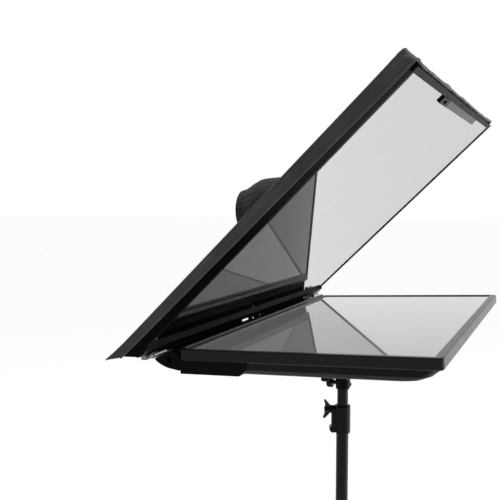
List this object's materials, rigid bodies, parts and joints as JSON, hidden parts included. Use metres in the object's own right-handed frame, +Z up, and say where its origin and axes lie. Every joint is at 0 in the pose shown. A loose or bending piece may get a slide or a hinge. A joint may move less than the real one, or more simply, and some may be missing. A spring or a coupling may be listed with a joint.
{
  "type": "teleprompter",
  "caption": "Free-standing teleprompter: face-up display, tilted beam-splitter glass on a folding frame, fabric hood with lens sleeve, and a folding column stand.",
  "frame": {"origin": "centre of the bounding box at floor level", "axes": "+Z up, -Y towards the talent, +Y towards the camera, X across the display"},
  "size_m": [1.078, 0.9376, 1.5265],
  "materials": {
    "bezel_plastic": "satin black moulding",
    "lcd_glass": "glossy display face",
    "light_guide": "acrylic light guide and film stack in a white tray",
    "shell_plastic": "fine moulded texture",
    "circuit_board": "solder mask",
    "plated_metal": "bright plating",
    "black_steel": "black oxide",
    "rubber": "soft matt",
    "button_plastic": "smooth",
    "black_aluminium": "black satin anodised",
    "bracket_paint": "powder coat",
    "bare_aluminium": "brushed",
    "foam": "closed-cell foam",
    "hood_fabric": "woven nylon",
    "elastic": "ribbed elastic",
    "mirror_glass": "partly mirrored",
    "grey_foil": "blank grey film",
    "knob_plastic": "moulded",
    "collar_plastic": "satin moulded",
    "stand_tube": "black anodised tube"
  },
  "bodies": {
    "stand_base": {"base_column": "stand_tube", "lower_collar": "collar_plastic", "base_ring": "collar_plastic"},
    "lower_collar_knob": {"lower_collar_knob": "knob_plastic"},
    "leg_hub": {"leg_hub": "collar_plastic"},
    "hub_knob": {"hub_knob": "knob_plastic"},
    "mid_section": {"mid_tube": "stand_tube", "upper_collar": "collar_plastic"},
    "upper_collar_knob": {"upper_collar_knob": "knob_plastic"},
    "upper_section": {"upper_tube": "stand_tube"},
    "swivel": {"stand_socket": "bracket_paint"},
    "socket_knob": {"socket_knob": "knob_plastic"},
    "tilt_lever": {"tilt_lever": "black_steel"},
    "display_head": {"front_bezel": "bezel_plastic", "lcd_glass": "lcd_glass", "backlight_unit": "light_guide", "rear_shell": "shell_plastic", "power_board": "circuit_board", "video_board": "circuit_board", "power_inlet": "shell_plastic", "video_sockets": "plated_metal", "casing_screws": "black_steel", "rubber_bumpers": "rubber", "hinge_rail": "black_aluminium", "side_bracket_left": "bracket_paint", "side_bracket_right": "bracket_paint", "bracket_bolts": "black_steel", "hinge_leaves_fixed": "bare_aluminium", "hinge_pins": "plated_metal", "latch_block": "black_steel", "head_plate": "bracket_paint", "tilt_clevis": "bracket_paint"},
    "power_button": {"power_button": "button_plastic"},
    "menu_button": {"menu_button": "button_plastic"},
    "input_button": {"input_button": "button_plastic"},
    "latch_lever": {"latch_lever": "plated_metal"},
    "glass_frame": {"frame_bottom_bar": "black_aluminium", "frame_top_bar": "black_aluminium", "frame_side_left": "black_aluminium", "frame_side_right": "black_aluminium", "corner_keys": "bare_aluminium", "beam_splitter_glass": "mirror_glass", "glass_gasket": "rubber", "hinge_leaves_moving": "bare_aluminium", "frame_screws": "black_steel", "glass_clip": "shell_plastic", "label_strip": "grey_foil", "light_seal": "foam", "hood_shroud": "hood_fabric", "lens_sleeve": "hood_fabric", "sleeve_elastic": "elastic"},
    "leg_1": {"leg_1": "stand_tube", "foot_1": "rubber"},
    "brace_1": {"brace_1": "black_steel"},
    "leg_2": {"leg_2": "stand_tube", "foot_2": "rubber"},
    "brace_2": {"brace_2": "black_steel"},
    "leg_3": {"leg_3": "stand_tube", "foot_3": "rubber"},
    "brace_3": {"brace_3": "black_steel"}
  },
  "joints": [
    {"name": "leg_fold", "type": "slide", "parent": "stand_base", "child": "leg_hub", "axis": [0, 0, 1], "range_m": [0, 0.27461]},
    {"name": "hub_knob_turn", "type": "hinge", "parent": "leg_hub", "child": "hub_knob", "pos_m": [0, 0.18127, 0.31946], "axis": [0, 1, 0], "range_deg": [-180, 180]},
    {"name": "mid_section_slide", "type": "slide", "parent": "stand_base", "child": "mid_section", "axis": [0, 0, 1], "range_m": [-0.17, 0.3]},
    {"name": "lower_collar_knob_turn", "type": "hinge", "parent": "stand_base", "child": "lower_collar_knob", "pos_m": [-0.0122, 0.17868, 0.674], "axis": [-0.4067, 0.9135, 0], "range_deg": [-180, 180]},
    {"name": "upper_section_slide", "type": "slide", "parent": "mid_section", "child": "upper_section", "axis": [0, 0, 1], "range_m": [-0.03, 0.35]},
    {"name": "upper_collar_knob_turn", "type": "hinge", "parent": "mid_section", "child": "upper_collar_knob", "pos_m": [-0.0122, 0.17868, 0.911], "axis": [-0.4067, 0.9135, 0], "range_deg": [-180, 180]},
    {"name": "head_pan", "type": "hinge", "parent": "upper_section", "child": "swivel", "pos_m": [0, 0.15127, 0.962], "axis": [0, 0, 1], "continuous": true},
    {"name": "socket_knob_turn", "type": "hinge", "parent": "swivel", "child": "socket_knob", "pos_m": [0, 0.17527, 0.964], "axis": [0, 1, 0], "range_deg": [-180, 180]},
    {"name": "head_tilt", "type": "hinge", "parent": "swivel", "child": "display_head", "pos_m": [0, 0.15127, 1], "axis": [1, 0, 0], "range_deg": [-15, 20]},
    {"name": "tilt_lever_turn", "type": "hinge", "parent": "swivel", "child": "tilt_lever", "pos_m": [0.03, 0.15127, 1], "axis": [1, 0, 0], "range_deg": [-50, 40]},
    {"name": "glass_fold", "type": "hinge", "parent": "display_head", "child": "glass_frame", "pos_m": [0, 0.34452, 1.08268], "axis": [1, 0, 0], "range_deg": [0, 38.5]},
    {"name": "latch_turn", "type": "hinge", "parent": "display_head", "child": "latch_lever", "pos_m": [0.004, 0.34446, 1.08169], "axis": [0, 0.0593, 0.9982], "range_deg": [-45, 0]},
    {"name": "power_button_press", "type": "slide", "parent": "display_head", "child": "power_button", "axis": [0, 0.0593, 0.9982], "range_m": [0, 0.0012], "stiffness_N_per_m": 900},
    {"name": "menu_button_press", "type": "slide", "parent": "display_head", "child": "menu_button", "axis": [0, 0.0593, 0.9982], "range_m": [0, 0.0012], "stiffness_N_per_m": 900},
    {"name": "input_button_press", "type": "slide", "parent": "display_head", "child": "input_button", "axis": [0, 0.0593, 0.9982], "range_m": [0, 0.0012], "stiffness_N_per_m": 900},
    {"name": "leg_1_swing", "type": "hinge", "parent": "leg_hub", "child": "leg_1", "pos_m": [0, 0.11127, 0.31146], "axis": [1, 0, 0], "range_deg": [0, 58]},
    {"name": "brace_1_swing", "type": "hinge", "parent": "stand_base", "child": "brace_1", "pos_m": [0, 0.11127, 0.06734], "axis": [1, 0, 0], "range_deg": [-58, 0]},
    {"name": "leg_2_swing", "type": "hinge", "parent": "leg_hub", "child": "leg_2", "pos_m": [0.03464, 0.17127, 0.31146], "axis": [-0.5, 0.866, 0], "range_deg": [0, 58]},
    {"name": "brace_2_swing", "type": "hinge", "parent": "stand_base", "child": "brace_2", "pos_m": [0.03464, 0.17127, 0.06734], "axis": [-0.5, 0.866, 0], "range_deg": [-58, 0]},
    {"name": "leg_3_swing", "type": "hinge", "parent": "leg_hub", "child": "leg_3", "pos_m": [-0.03464, 0.17127, 0.31146], "axis": [-0.5, -0.866, 0], "range_deg": [0, 58]},
    {"name": "brace_3_swing", "type": "hinge", "parent": "stand_base", "child": "brace_3", "pos_m": [-0.03464, 0.17127, 0.06734], "axis": [-0.5, -0.866, 0], "range_deg": [-58, 0]}
  ],
  "couplings": [
    {"joint": "leg_1_swing", "follows": "leg_fold", "rad_per_m": 3.6863},
    {"joint": "brace_1_swing", "follows": "leg_fold", "rad_per_m": -3.6863},
    {"joint": "leg_2_swing", "follows": "leg_fold", "rad_per_m": 3.6863},
    {"joint": "brace_2_swing", "follows": "leg_fold", "rad_per_m": -3.6863},
    {"joint": "leg_3_swing", "follows": "leg_fold", "rad_per_m": 3.6863},
    {"joint": "brace_3_swing", "follows": "leg_fold", "rad_per_m": -3.6863}
  ]
}
